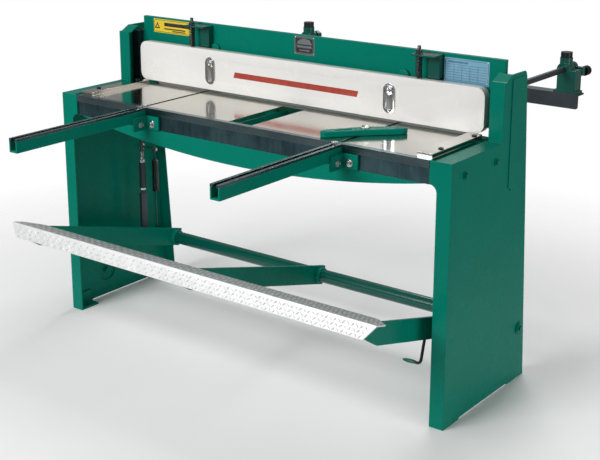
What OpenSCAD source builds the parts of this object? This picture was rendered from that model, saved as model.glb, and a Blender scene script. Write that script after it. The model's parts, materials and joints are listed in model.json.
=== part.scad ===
// Foot-operated squaring shear for sheet metal.
// X runs along the cut, Y from the operator towards the back, Z up. Millimetres.
// Each piece is drawn with Y measured from the front of the side frames; place()
// moves it so that the origin is on the floor, midway between the floor anchors.

/* [Machine] */
// Width over the two side frames
frame_w = 1595; // [1560:5:1660]
// Height of the bed's top face above the floor
bed_z = 820; // [815:1:826]
// Depth of a side frame at the bed
bed_d = 292; // [288:1:296]
// Thickness of the bent sheet of the side frames
sheet = 5; // [4:0.5:6]
// Width of the side frames' inward flanges
flange = 48; // [40:1:50]
// Distance between the front and back floor anchors
anchor_span = 410; // [400:1:420]
// Radius of the floor anchor holes
anchor_r = 7; // [5:0.5:9]

/* [Bed] */
// Half length of the table and front rail
bed_half = 723; // [716:1:724]
// Distance of each T-slot from the middle
slot_x = 404; // [380:1:430]
// Width of the T-slots
slot_w = 14; // [10:1:16]
// Width of the hand opening in the middle of the table
hand_w = 96; // [80:1:120]
// Depth of the lower edge of the arched apron below the bed's top
apron_drop = 140; // [120:1:150]

/* [Front arms] */
// Length of the front extension arms
arm_len = 555; // [400:5:700]
// Width of the front extension arms
arm_w = 34; // [30:1:44]
// Height of the front extension arms
arm_h = 44; // [40:1:50]

/* [Cutting] */
// Half length of both blades
blade_half = 690; // [640:5:700]
// Rise of the upper blade's edge from its left to its right end
rake = 18; // [10:1:20]
// Open height between the table and the hold-down bar
throat = 10; // [8:1:10]

/* [Crosshead and hold-down] */
// Half length of the crosshead at its top
head_half = 752; // [748:1:752]
// Height of the crosshead's top face above the floor
head_top = 1054; // [1045:1:1060]
// Half length of the hold-down bar
bar_half = 718; // [700:1:720]
// Height of the hold-down bar
bar_h = 142; // [136:1:144]
// Distance of the hold-down studs from the middle
stud_x = 474; // [460:1:480]
// Distance of the hold-down guide bolts from the middle
guide_x = 377; // [360:1:390]

/* [Treadle] */
// Height of the treadle pivot above the floor
pivot_z = 176; // [170:1:182]
// Distance of the treadle pivot behind the front of the frames
pivot_y = 459; // [456:1:462]
// Angle by which the treadle arms rise towards the front
arm_tilt = 15.3; // [14:0.1:16]
// Angle that the treadle turns for a full stroke
treadle_turn = 17; // [16:0.5:18]
// Half length of the tread
tread_half = 750; // [740:1:780]
// Outer radius of the torque tube
tube_r = 24; // [22:0.5:26]

/* [Back gauge] */
// Distance of the gauge rods from the middle
rod_x = 580; // [572:1:584]
// Height of the gauge rods above the floor
rod_z = 888; // [885:1:892]
// Radius of the gauge rods
rod_r = 11; // [9:0.5:12]
// Distance of the gauge's face behind the shear line
gauge_set = 785; // [750:5:800]

/* [Hidden] */

$fn = 48;

paint = [0, 0.49, 0.4];
dark_paint = [0, 0.36, 0.3];
ground_steel = [0.78, 0.8, 0.8];
dark_steel = [0.27, 0.31, 0.34];
zinc = [0.7, 0.72, 0.72];
black = [0.06, 0.06, 0.07];
off_white = [0.93, 0.91, 0.89];

out_x = frame_w/2;              // outer face of a side frame
in_x = out_x - sheet;           // inner face of a side frame
mid_y = bed_d/2 + 104;          // middle of the floor anchor pattern
foot_y = 507;                   // back of the side frames at the floor
upright_top = bed_z + 201;      // top of the uprights
lean = 75/1005;                 // slope of the side frames' back edge
ear_x = out_x - 72.5;           // inner edge of the front flange's ear
ear_r = 72.5 - flange;          // fillet radius under the ear

shear_y = 360;                  // plane of the cut
blade_t = 16;                   // thickness of both blades
gap = 0.3;                      // clearance between sliding faces
head_y = shear_y + blade_t;     // front face of the crosshead
head_t = 16;                    // thickness of the crosshead plate
head_low = bed_z + 18;          // lower edge of the crosshead plate
leg_x = 728;                    // inner edge of the crosshead's legs
leg_low = 650;                  // lower end of the crosshead's legs
way_x = 757;                    // inner edge of the ways
tongue_x = in_x - 4.5;          // outer edge of the crosshead's tongues
way_low = 600;                  // lower end of the ways
way_top = 1000;                 // upper end of the ways

bar_y = 319;                    // front face of the hold-down bar
bar_t = 30;                     // thickness of the hold-down bar
bar_low = bed_z + throat;       // lower edge of the hold-down bar
bar_top = bar_low + bar_h;      // upper edge of the hold-down bar
stud_y = bar_y + bar_t/2;       // plane of the hold-down studs
bracket_z = bar_top + 72;       // underside of the hold-down brackets

table_y = 20;                   // front edge of the table plates
table_t = 16;                   // thickness of the table plates
beam_y = 330;                   // front face of the bed's rear beam
web_low = bed_z - 73;           // lower edge of the bare front web
slot_r = arm_w/2;               // half width of the space under a T-slot

link_r = 152;                   // radius of the link pins about the pivot
link_y = pivot_y - link_r*cos(treadle_turn/2);
link_low = pivot_z + link_r*sin(treadle_turn/2);
link_top = 640;                 // height of the links' upper pins
link_x = 714;                   // inner face of the links
link_t = 12;                    // thickness of the links
pin_r = 8;                      // radius of the link pins

arm_x = 698;                    // inner face of the outer treadle arms
arm_t = 10;                     // thickness of the treadle arms
arm_half = 34;                  // half depth of the treadle arms
spring_y = 380;                 // plane of the return springs
spring_x = 722;                 // distance of the return springs from the middle
hanger_z = 545;                 // height of the return springs' upper hooks

gauge_y = shear_y + gauge_set;  // front face of the back gauge
block_y = gauge_y + 68;         // front face of the adjusting blocks
screw_dx = 36;                  // adjusting screw beside the rod
screw_dz = 16;                  // adjusting screw below the rod
upper_pitch = 210;              // spacing of the upper blade's screws
lower_pitch = 200;              // spacing of the lower blade's screws
hook_u = 405;                   // hook pivot, forward of the treadle pivot
hook_v = -10;                   // hook pivot, over the arm's line
hook_x = arm_x - 7;             // plane of the hook

module place() {
    translate([0, -mid_y, 0]) children();
}

// Both sides of the machine
module pair() {
    children();
    mirror([1, 0, 0]) children();
}

// An outline drawn as (y, z), extruded along X from x0
module slab(x0, t) {
    translate([x0, 0, 0]) rotate([90, 0, 90]) linear_extrude(t) children();
}

// An outline drawn as (x, z), extruded towards the back from y0
module panel(y0, t) {
    translate([0, y0 + t, 0]) rotate([90, 0, 0]) linear_extrude(t) children();
}

module rod_along_x(x0, y, z, len, r) {
    translate([x0, y, z]) rotate([0, 90, 0]) cylinder(h = len, r = r);
}

module rod_along_y(x, y0, z, len, r) {
    translate([x, y0, z]) rotate([-90, 0, 0]) cylinder(h = len, r = r);
}

// A hexagon head lying across Y, with its washer face at y0
module hex_y(x, y0, z, len, r) {
    translate([x, y0, z]) rotate([-90, 0, 0]) cylinder(h = len, r = r, $fn = 6);
}

module slot_2d(w, h) {
    for (s = [-1, 1]) translate([0, s*(h - w)/2]) circle(r = w/2);
    square([w, h - w], center = true);
}

module rounded_2d(w, h, r) {
    square([w - 2*r, h], center = true);
    square([w, h - 2*r], center = true);
    for (i = [-1, 1], j = [-1, 1])
        translate([i*(w/2 - r), j*(h/2 - r)]) circle(r = r);
}

// ---- side frames -------------------------------------------------------

function back_y(z) = foot_y - lean*z;

module side_outline() {
    polygon([[0, 0], [90, 0], [96, 6], [394, 6], [400, 0], [foot_y, 0],
        [back_y(upright_top - 20), upright_top - 20], [back_y(upright_top) - 3, upright_top - 7],
        [back_y(upright_top) - 10, upright_top], [338, upright_top],
        [305, upright_top - 18], [bed_d, upright_top - 18], [bed_d, bed_z], [0, bed_z]]);
}

// Front flange with the ear that closes the end of the bed
module front_flange_2d() {
    polygon(concat([[out_x, 0], [out_x - flange, 0]],
        [for (a = [0:15:90]) [ear_x + ear_r*cos(a), bed_z - 70 - ear_r + ear_r*sin(a)]],
        [[ear_x, bed_z], [out_x, bed_z]]));
}

module side_frame() {
    difference() {
        slab(in_x, sheet) side_outline();
        for (y = [75, 258]) rod_along_x(in_x - 1, y, bed_z - 49, sheet + 2, 6.5);
        rod_along_x(in_x - 1, pivot_y, pivot_z, sheet + 2, 16);
        rod_along_x(in_x - 1, 355, 664, sheet + 2, 4);
    }
    panel(0, sheet) front_flange_2d();
    slab(out_x - flange, flange)
        polygon([[foot_y - sheet, 0], [foot_y, 0], [back_y(1000), 1000],
            [back_y(1000) - sheet, 1000]]);
    translate([ear_x + 15, 0, bed_z - sheet]) cube([out_x - ear_x - 15, bed_d, sheet]);
    translate([out_x - flange, bed_d, bed_z - sheet])
        cube([flange, sheet, upright_top - 18 - bed_z + sheet]);
    slab(out_x - flange, flange)
        polygon([[bed_d, upright_top - 18 - sheet], [bed_d, upright_top - 18],
            [305, upright_top - 18], [338, upright_top], [345, upright_top],
            [345, upright_top - sheet], [339, upright_top - sheet],
            [306, upright_top - 18 - sheet]]);
    // doubling strip outside the ways
    slab(out_x, 3)
        polygon([[338, 670], [back_y(670) - 14, 670], [back_y(1008) - 14, 1008],
            [338, 1008]]);
}

module left_side_frame() {
    hole_y = 175;
    hole_z = 100;
    color(paint) place() {
        difference() {
            mirror([1, 0, 0]) side_frame();
            rod_along_x(-out_x - 1, hole_y, hole_z, sheet + 2, 40);
        }
        // cover on the outside, with the end of its bolt
        rod_along_x(-out_x - 3, hole_y, hole_z, 3, 48);
        rod_along_x(-out_x - 3, hole_y, hole_z, 14, 12);
    }
}

module right_side_frame() {
    color(paint) place() side_frame();
}

module foot_angles() {
    color(dark_paint) place() pair()
        for (y = [mid_y - anchor_span/2, mid_y + anchor_span/2]) difference() {
            union() {
                translate([in_x - 43, y - 38, 0]) cube([43, 76, 6]);
                translate([in_x - 6, y - 38, 0]) cube([6, 76, 50]);
            }
            translate([in_x - 24, y, -1]) cylinder(h = 8, r = anchor_r);
        }
}

module way_bars() {
    color(dark_steel) place() pair() {
        translate([way_x, head_y - gap - 24, way_low])
            cube([in_x - way_x, 24, way_top - way_low]);
        translate([way_x, head_y + head_t + gap + 10, way_low])
            cube([in_x - way_x, 16, way_top - way_low]);
    }
}

module gibs() {
    color([0.66, 0.5, 0.25]) place() pair()
        translate([way_x, head_y + head_t + gap, way_low])
            cube([in_x - way_x - 2, 10, way_top - way_low]);
}

module pivot_bushes() {
    color([0.66, 0.5, 0.25]) place() pair() difference() {
        union() {
            rod_along_x(in_x - 8, pivot_y, pivot_z, sheet + 8, 16);
            rod_along_x(out_x, pivot_y, pivot_z, 3, 20);
        }
        rod_along_x(in_x - 9, pivot_y, pivot_z, sheet + 13, 10.05);
    }
}

module spring_hangers() {
    color(zinc) place() pair() {
        rod_along_x(spring_x - 10, spring_y, hanger_z, in_x - spring_x + 10, 6);
        rod_along_x(in_x - 5, spring_y, hanger_z, 5, 14);
    }
}

module frame_bolts() {
    color(zinc) place() pair() {
        // bed to side frames
        for (y = [75, 258]) {
            rod_along_x(out_x, y, bed_z - 49, 2.5, 12);
            translate([out_x + 2.5, y, bed_z - 49]) rotate([0, 90, 0])
                cylinder(h = 7, r = 10, $fn = 6);
            rod_along_x(in_x - 8, y, bed_z - 49, sheet + 8, 6);
        }
        // gib setting screws
        for (z = [660, 800, 950]) hex_y(775, head_y + head_t + gap + 26, z, 7, 8);
    }
    // front arm brackets: one bolt into the web, one into the arm
    color(zinc) place() for (s = [-1, 1]) {
        rod_along_y(s*slot_x + 46, -4.5, bed_z - 52, 2.5, 13);
        hex_y(s*slot_x + 46, -12, bed_z - 52, 7.5, 9);
        rod_along_x(s*slot_x + slot_r + 8, -36, bed_z - 52, 2.5, 10);
        translate([s*slot_x + slot_r + 10.5, -36, bed_z - 52]) rotate([0, 90, 0])
            cylinder(h = 6, r = 8, $fn = 6);
    }
}

// ---- bed ---------------------------------------------------------------

module bed_brackets() {
    color(dark_paint) place() pair() difference() {
        union() {
            translate([in_x - 8, 30, bed_z - 85]) cube([8, 280, 69]);
            translate([bed_half - 40, 30, bed_z - 24]) cube([in_x - bed_half + 32, 280, 8]);
        }
        for (y = [75, 258]) rod_along_x(in_x - 9, y, bed_z - 49, 10, 6);
    }
}

module front_rail() {
    color([0.5, 0.56, 0.58]) place()
        translate([-bed_half, 0, bed_z - 23]) cube([2*bed_half, table_y, 23]);
}

module front_web() {
    color([0.2, 0.24, 0.28]) place()
        translate([-bed_half, 6, web_low]) cube([2*bed_half, 10, bed_z - 23 - web_low]);
}

// Arched plate under the web: a chord of 2*arc_half with the sagitta arc_rise
arc_half = 705;
arc_rise = apron_drop - 73;
arc_r = (arc_half*arc_half + arc_rise*arc_rise)/(2*arc_rise);

module apron() {
    color(paint) place() panel(5, 10)
        polygon([for (i = [-16:16])
            let (x = arc_half*i/16)
            [x, bed_z - apron_drop + arc_r - sqrt(arc_r*arc_r - x*x)]]);
}

// Ribs from the front web to the rear beam, notched round the front rail
module bed_rib(x) {
    rib_z = bed_z - 74;
    slab(x, 8)
        polygon([[16, rib_z], [beam_y, rib_z], [beam_y, bed_z - table_t],
            [table_y, bed_z - table_t], [table_y, bed_z - 23], [16, bed_z - 23]]);
}

module bed_ribs() {
    color(dark_paint) place() {
        pair() for (x = [slot_x - slot_r - 8, slot_x + slot_r]) bed_rib(x);
        for (x = [10 - hand_w/2 - 8, 10 + hand_w/2]) bed_rib(x);
    }
}

module rear_beam() {
    color(dark_paint) place() difference() {
        translate([-in_x, beam_y, bed_z - 120]) cube([2*in_x, 14, 104]);
        for (i = [-3:3]) rod_along_y(i*lower_pitch, beam_y - 1, bed_z - 34, 16, 6);
    }
}

module table_sides() {
    color(ground_steel) place() pair()
        translate([slot_x + slot_w/2, table_y, bed_z - table_t])
            cube([bed_half - slot_x - slot_w/2, shear_y - blade_t - table_y, table_t]);
}

module table_centre() {
    half = slot_x - slot_w/2;
    color(ground_steel) place() difference() {
        translate([-half, table_y, bed_z - table_t])
            cube([2*half, shear_y - blade_t - table_y, table_t]);
        translate([10 - hand_w/2, table_y - 1, bed_z - table_t - 1])
            cube([hand_w, 281, table_t + 2]);
    }
}

module lower_blade() {
    color(ground_steel) place() difference() {
        translate([-blade_half, shear_y - blade_t, bed_z - 48])
            cube([2*blade_half, blade_t, 48]);
        for (i = [-3:3])
            rod_along_y(i*lower_pitch, shear_y - blade_t - 1, bed_z - 34, 12, 6);
    }
}

module lower_blade_screws() {
    color(zinc) place() for (i = [-3:3]) {
        rod_along_y(i*lower_pitch, beam_y, bed_z - 34, 24, 6);
        rod_along_y(i*lower_pitch, beam_y - 8, bed_z - 34, 8, 10);
    }
}

module side_gauges() {
    color(ground_steel) place() pair() difference() {
        translate([669, 22, bed_z]) cube([50, 288, 12]);
        for (y = [91, 285]) translate([706, y, bed_z + 4]) cylinder(h = 9, r = 8.3);
    }
}

module side_gauge_screws() {
    color(zinc) place() pair()
        for (y = [91, 285]) translate([706, y, bed_z + 4]) difference() {
            cylinder(h = 11, r = 8);
            translate([0, 0, 6]) cylinder(h = 6, r = 4, $fn = 6);
        }
}

// ---- front extension arms -----------------------------------------------

module front_arm(x) {
    wall = 5;
    color(paint) place() translate([x, -arm_len, bed_z - arm_h]) difference() {
        translate([-slot_r, 0, 0]) cube([arm_w, arm_len, arm_h - 8]);
        translate([-slot_r + wall, -1, wall]) cube([arm_w - 2*wall, arm_len + 2, arm_h]);
    }
}

module left_front_arm() {
    front_arm(-slot_x);
}

module right_front_arm() {
    front_arm(slot_x);
}

module front_arm_lips() {
    color(ground_steel) place() for (s = [-1, 1], side = [0, 1])
        translate([s*slot_x + (side == 0 ? -slot_r : slot_w/2), -arm_len, bed_z - 8])
            cube([slot_r - slot_w/2, arm_len, 8]);
}

module arm_brackets() {
    color(dark_paint) place() for (s = [-1, 1]) {
        translate([s*slot_x + slot_r, -64, bed_z - 72]) cube([8, 64, 46]);
        translate([s*slot_x + slot_r, -2, bed_z - 72]) cube([58, 8, 46]);
    }
}

// A stop stud that slides along an arm's T-slot
module arm_stop(x) {
    color(zinc) place() translate([x, -14, 0]) {
        translate([0, 0, bed_z - 14]) cube([22, 22, 5.5], center = true);
        translate([0, 0, bed_z - 12]) cylinder(h = 14, r = 6);
        translate([0, 0, bed_z + 0.4]) cylinder(h = 7, r = 10);
    }
}

module left_stop() {
    arm_stop(-slot_x);
}

module right_stop() {
    arm_stop(slot_x);
}

// ---- bevel gauge ---------------------------------------------------------

bevel_y = 145;                  // place of the clamp bolt along the T-slot

module bevel_gauge() {
    color(paint) place() translate([slot_x, bevel_y, bed_z + 0.5]) difference() {
        linear_extrude(18) difference() {
            union() {
                polygon([[-92, -94], [-60, -112], [10, -26], [98, 60], [104, 84],
                    [84, 88], [60, 78], [-18, 14]]);
                translate([-76, -103]) circle(r = 18.4);
            }
            hull() {
                translate([-56, -78]) circle(r = 6, $fn = 24);
                translate([-22, -34]) circle(r = 6, $fn = 24);
            }
        }
        translate([0, 0, -1]) cylinder(h = 20, r = 6.05);
    }
}

module bevel_bolt() {
    color(zinc) place() translate([slot_x, bevel_y, bed_z]) {
        translate([0, 0, -table_t - 3.5]) cube([26, 26, 6], center = true);
        translate([0, 0, -table_t - 2]) cylinder(h = table_t + 32, r = 6);
        translate([0, 0, 18.9]) cylinder(h = 2.5, r = 13);
        translate([0, 0, 21.4]) cylinder(h = 8, r = 10, $fn = 6);
    }
}

// ---- crosshead -----------------------------------------------------------

module head_outline() {
    polygon([[-tongue_x, leg_low], [-leg_x, leg_low], [-leg_x, head_low - 20],
        [-leg_x + 20, head_low], [leg_x - 20, head_low], [leg_x, head_low - 20],
        [leg_x, leg_low], [tongue_x, leg_low], [tongue_x, 990], [head_half, 1004],
        [head_half, head_top], [-head_half, head_top], [-head_half, 1004],
        [-tongue_x, 990]]);
}

module crosshead_beam() {
    color(paint) place() difference() {
        panel(head_y, head_t) head_outline();
        for (i = [-3:3])
            rod_along_y(i*upper_pitch, head_y - 1, head_low + 34, head_t + 2, 6);
        for (s = [-1, 1]) rod_along_y(s*guide_x, head_y - 1, bar_top - 47, 12, 6);
    }
}

module crosshead_stiffener() {
    z = head_top - 124;
    color(dark_paint) place() translate([-660, head_y + head_t, 0]) {
        translate([0, 0, z]) cube([1320, 53, 8]);
        translate([0, 0, z + 62]) cube([1320, 53, 8]);
        translate([0, 45, z]) cube([1320, 8, 70]);
    }
}

module link_lugs() {
    color(paint) place() pair() slab(leg_x, 12) difference() {
        union() {
            polygon([[head_y, 700], [head_y, 600], [link_y + 6, link_top - 24],
                [link_y + 6, link_top + 24]]);
            translate([link_y, link_top]) circle(r = 25);
        }
        translate([link_y, link_top]) circle(r = pin_r);
    }
    color(zinc) place() pair() {
        rod_along_x(link_x - 5, link_y, link_top, leg_x + 17 - link_x, pin_r);
        rod_along_x(link_x - 5, link_y, link_top, 4, 13);
        rod_along_x(leg_x + 12.01, link_y, link_top, 5, 12);
    }
}

module upper_blade() {
    low = bed_z + 12;
    color(ground_steel) place() difference() {
        panel(shear_y + gap, blade_t - gap)
            polygon([[-blade_half, low], [blade_half, low + rake],
                [blade_half, low + 66], [-blade_half, low + 66]]);
        for (i = [-3:3])
            rod_along_y(i*upper_pitch, shear_y + 4, head_low + 34, blade_t, 6);
    }
}

module upper_blade_screws() {
    color(zinc) place() for (i = [-3:3]) {
        rod_along_y(i*upper_pitch, shear_y + 5, head_low + 34, blade_t + head_t - 5, 6);
        rod_along_y(i*upper_pitch, head_y + head_t, head_low + 34, 8, 10);
    }
}

module holddown_brackets() {
    color(paint) place() for (s = [-1, 1]) translate([s*stud_x, 0, 0]) {
        difference() {
            translate([-20, stud_y - 16, bracket_z]) cube([84, head_y - stud_y + 16, 6]);
            translate([0, stud_y, bracket_z - 1]) cylinder(h = 8, r = 6.8);
        }
        translate([24, bar_y + bar_t + 2, bar_top + 3])
            cube([40, head_y - bar_y - bar_t - 2, bracket_z - bar_top - 3]);
    }
}

module holddown_springs() {
    color(black) place() for (s = [-1, 1]) translate([s*stud_x, stud_y, bar_top])
        difference() {
            cylinder(h = bracket_z - bar_top, r = 12);
            translate([0, 0, -1]) cylinder(h = bracket_z - bar_top + 2, r = 8.5);
        }
}

module guide_bolts() {
    z = bar_top - 47;
    color(zinc) place() for (s = [-1, 1]) {
        rod_along_y(s*guide_x, bar_y - 5, z, head_y - bar_y + 15, 6);
        rod_along_y(s*guide_x, bar_y - 6.5, z, 2.5, 15);
        rod_along_y(s*guide_x, bar_y - 14, z, 7.5, 9);
    }
}

module plate_on_head(x, z, w, h) {
    translate([x - w/2, head_y - 1, z - h/2]) cube([w, 1, h]);
}

module warning_plate() {
    color([0.92, 0.8, 0.24]) place() plate_on_head(-606, 1024, 188, 50);
}

module chart_plate() {
    color([0.42, 0.66, 0.78]) place() plate_on_head(620, 1004, 158, 76);
}

module name_plate() {
    color(zinc) place() plate_on_head(-3, 1019, 84, 62);
}

// ---- hold-down -------------------------------------------------------------

module holddown_bar() {
    z = bar_low + bar_h/2;
    color(off_white) place() difference() {
        panel(bar_y, bar_t) difference() {
            translate([0, z]) rounded_2d(2*bar_half, bar_h, 30);
            for (s = [-1, 1]) translate([s*guide_x, bar_top - 72]) slot_2d(15, 80);
        }
        for (s = [-1, 1]) translate([s*stud_x, stud_y, bar_top - 30])
            cylinder(h = 31, r = 6);
    }
}

module slot_plates() {
    color([0.85, 0.86, 0.87]) place() for (s = [-1, 1]) panel(bar_y - 3, 3) difference() {
        translate([s*guide_x, bar_top - 73.5]) slot_2d(45, 97);
        translate([s*guide_x, bar_top - 72]) slot_2d(15, 80);
    }
}

module holddown_studs() {
    color(zinc) place() for (s = [-1, 1]) translate([s*stud_x, stud_y, 0]) {
        translate([0, 0, bar_top - 30]) cylinder(h = bracket_z - bar_top + 62, r = 6);
        translate([0, 0, bracket_z + 6.4]) cylinder(h = 2.5, r = 12);
        translate([0, 0, bracket_z + 8.9]) cylinder(h = 10, r = 10, $fn = 6);
    }
}

// ---- back gauge --------------------------------------------------------------

rod_end = block_y + 34;         // back end of the gauge rods
angle_top = rod_z - 84;         // top face of the gauge angle

module gauge_rods() {
    color(dark_steel) place() pair()
        rod_along_y(rod_x, head_y + head_t, rod_z, rod_end - head_y - head_t, rod_r);
}

module rod_sockets() {
    color(dark_paint) place() pair() difference() {
        union() {
            translate([rod_x - 35, head_y + head_t, rod_z - 35]) cube([70, 10, 70]);
            rod_along_y(rod_x, head_y + head_t, rod_z, 38, 20);
        }
        rod_along_y(rod_x, head_y + head_t - 1, rod_z, 40, rod_r);
    }
}

module gauge_carriages() {
    color(paint) place() pair() difference() {
        union() {
            translate([rod_x - 22, gauge_y + 2, angle_top]) cube([72, 48, rod_z - angle_top]);
            translate([rod_x - 34, gauge_y + 2, angle_top]) cube([92, 46, 9]);
            rod_along_y(rod_x, gauge_y + 2, rod_z, 48, 25);
            translate([rod_x, gauge_y + 26, rod_z + 16]) cylinder(h = 26, r = 23);
        }
        rod_along_y(rod_x, gauge_y, rod_z, 60, rod_r + 0.05);
        rod_along_y(rod_x + screw_dx, gauge_y + 28, rod_z - screw_dz, 30, 6.5);
        translate([rod_x, gauge_y + 26, rod_z]) cylinder(h = 70, r = 5.05);
    }
}

// Screw with a knurled head that clamps a carriage on its rod
module clamp_screw(s) {
    color(zinc) place() translate([s*rod_x, gauge_y + 26, rod_z]) {
        translate([0, 0, rod_r + 0.4]) cylinder(h = 42, r = 5);
        translate([0, 0, 43]) difference() {
            cylinder(h = 19, r = 21);
            for (a = [0:24:336]) rotate(a) translate([21.8, 0, -1])
                cylinder(h = 21, r = 2, $fn = 16);
        }
    }
}

module left_clamp_screw() {
    clamp_screw(-1);
}

module right_clamp_screw() {
    clamp_screw(1);
}

module gauge_angle() {
    color(dark_steel) place() {
        angle_half = 644;
        panel(gauge_y, 6) difference() {
            translate([-angle_half, angle_top - 54]) square([2*angle_half, 54]);
            for (s = [-1, 1]) translate([s*(angle_half - 8), angle_top - 46])
                difference() {
                    translate([s < 0 ? -10 : 0, -10]) square(10);
                    circle(r = 8);
                }
        }
        translate([-angle_half, gauge_y, angle_top - 6]) cube([2*angle_half, 50, 6]);
    }
}

module adjust_blocks() {
    color(dark_paint) place() pair() difference() {
        union() {
            rod_along_y(rod_x, block_y, rod_z, 20, 19);
            translate([rod_x - 14, block_y, rod_z - 27]) cube([60, 20, 30]);
        }
        rod_along_y(rod_x, block_y - 1, rod_z, 26, rod_r + 0.05);
        rod_along_y(rod_x + screw_dx, block_y - 1, rod_z - screw_dz, 26, 6.05);
    }
}

// Adjusting screw with two knurled wheels
module adjust_knob(s) {
    color(black) place() translate([s*(rod_x + screw_dx), 0, rod_z - screw_dz])
        rotate([-90, 0, 0]) {
            translate([0, 0, block_y - 32]) cylinder(h = 96, r = 6);
            for (y = [block_y + 34, block_y + 52]) translate([0, 0, y])
                difference() {
                    cylinder(h = 9, r = 18);
                    for (a = [0:20:340]) rotate(a) translate([18.6, 0, -1])
                        cylinder(h = 11, r = 1.4, $fn = 16);
                }
        }
}

module left_adjust_knob() {
    adjust_knob(-1);
}

module right_adjust_knob() {
    adjust_knob(1);
}

// ---- treadle --------------------------------------------------------------------

// Treadle pieces are drawn as (forward distance from the pivot, height over the arm's line)
module on_treadle() {
    translate([0, pivot_y, pivot_z]) rotate([-arm_tilt, 0, 0]) children();
}

// Angle of chequered plate: a top strip and a front lip, both mitred at the ends
module tread_plate() {
    t = 5;
    bend = 788;
    strip = 94;
    run = 4;
    drop = 44;
    lip_mitre = 34;
    strip_mitre = 56;
    straight = 44;
    out = t*drop/sqrt(run*run + drop*drop);
    rise = t*run/sqrt(run*run + drop*drop);
    top = arm_half + t + 1;
    color([0.85, 0.87, 0.88]) place() on_treadle() intersection() {
        slab(-tread_half, 2*tread_half)
            polygon([[strip - bend, arm_half], [-bend, arm_half],
                [-bend - run, arm_half - drop], [-bend - run - out, arm_half - drop + rise],
                [-bend - out + (t - rise)*run/drop, arm_half + t],
                [strip - bend, arm_half + t]]);
        panel(-bend - 20, strip + 30)
            polygon([[-tread_half, top], [tread_half, top], [tread_half, arm_half],
                [tread_half - lip_mitre, arm_half - drop],
                [lip_mitre - tread_half, arm_half - drop], [-tread_half, arm_half]]);
        translate([0, 0, arm_half - drop - 1]) linear_extrude(drop + t + 2)
            polygon([[-tread_half, -bend - 20], [tread_half, -bend - 20],
                [tread_half, straight - bend], [tread_half - strip_mitre, strip - bend],
                [strip_mitre - tread_half, strip - bend], [-tread_half, straight - bend]]);
    }
}

module treadle_arm(x) {
    slab(x, arm_t) difference() {
        polygon([[28, arm_half], [-786, arm_half], [-790, -6], [-700, -arm_half],
            [28, -arm_half]]);
        circle(r = tube_r);
    }
    for (side = [-14, arm_t]) translate([x + side, 0, 0]) rotate([0, 90, 0])
        difference() {
            cylinder(h = 14, r = tube_r + 5);
            translate([0, 0, -1]) cylinder(h = 16, r = tube_r);
        }
}

module treadle_arms() {
    color(paint) place() on_treadle() for (x = [-arm_x - arm_t, -arm_t/2, arm_x])
        treadle_arm(x);
}

module torque_tube() {
    color([0.06, 0.27, 0.22]) place() difference() {
        rod_along_x(-in_x + 8.5, pivot_y, pivot_z, 2*in_x - 17, tube_r);
        rod_along_x(-in_x + 48, pivot_y, pivot_z, 2*in_x - 96, tube_r - 5);
        rod_along_x(-in_x, pivot_y, pivot_z, 2*in_x, 10);
    }
}

module pivot_pins() {
    color(zinc) place() pair() {
        rod_along_x(in_x - 48, pivot_y, pivot_z, 56.4, 10);
        rod_along_x(out_x + 3.4, pivot_y, pivot_z, 2.5, 15);
        translate([out_x + 5.9, pivot_y, pivot_z]) rotate([0, 90, 0])
            cylinder(h = 6, r = 9, $fn = 6);
    }
}

module arm_pins() {
    stud_z = pivot_z + (pivot_y - spring_y)*tan(arm_tilt);
    color(zinc) place() pair() {
        rod_along_x(arm_x + arm_t, link_y, link_low, 23, pin_r);
        rod_along_x(link_x + link_t + 1, link_y, link_low, 3, 13);
        rod_along_x(arm_x + arm_t, spring_y, stud_z, 24, 6);
        rod_along_x(arm_x + arm_t + 20, spring_y, stud_z, 4, 10);
    }
    // shoulder bolt of the treadle hook
    color(zinc) place() on_treadle() {
        rod_along_x(hook_x - 7, -hook_u, hook_v, 14, 5);
        rod_along_x(hook_x - 11, -hook_u, hook_v, 4, 9);
    }
}

// ---- links -----------------------------------------------------------------------

module link() {
    mid = (link_low + link_top)/2 + 40;
    x = link_x + link_t/2;
    color(dark_steel) place() {
        slab(link_x, link_t) difference() {
            union() {
                translate([link_y, link_low]) circle(r = 17);
                translate([link_y - 14, link_low]) square([28, mid - link_low - 70]);
            }
            translate([link_y, link_low]) circle(r = pin_r + 0.05);
        }
        slab(link_x, link_t) difference() {
            translate([link_y, link_top]) circle(r = 19);
            translate([link_y, link_top]) circle(r = 10.4);
        }
        translate([x, link_y, mid - 74]) cylinder(h = 45, r = 6);
        translate([x, link_y, mid + 30]) cylinder(h = link_top - mid - 45, r = 6);
    }
    color(zinc) place() translate([x, link_y, mid - 50])
        cylinder(h = 100, r = 13, $fn = 6);
}

module left_link() {
    mirror([1, 0, 0]) link();
}

module right_link() {
    link();
}

// Extension springs between the side frames and the treadle arms
module return_springs() {
    low = pivot_z + (pivot_y - spring_y)*tan(arm_tilt);
    coil_low = 372;
    coil_top = 508;
    color([0.2, 0.22, 0.23]) place() pair() translate([spring_x, spring_y, 0]) {
        translate([0, 0, coil_low]) difference() {
            cylinder(h = coil_top - coil_low, r = 13);
            translate([0, 0, 6]) cylinder(h = coil_top - coil_low - 12, r = 9);
        }
        translate([0, 0, coil_top - 1]) cylinder(h = hanger_z - coil_top - 6.4, r = 2.5);
        translate([0, 0, low + 7]) cylinder(h = coil_low - low - 6, r = 2.5);
        for (z = [low, hanger_z]) translate([0, 0, z]) rotate([0, 90, 0])
            rotate_extrude() translate([9, 0]) circle(r = 2.5, $fn = 16);
    }
}

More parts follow.
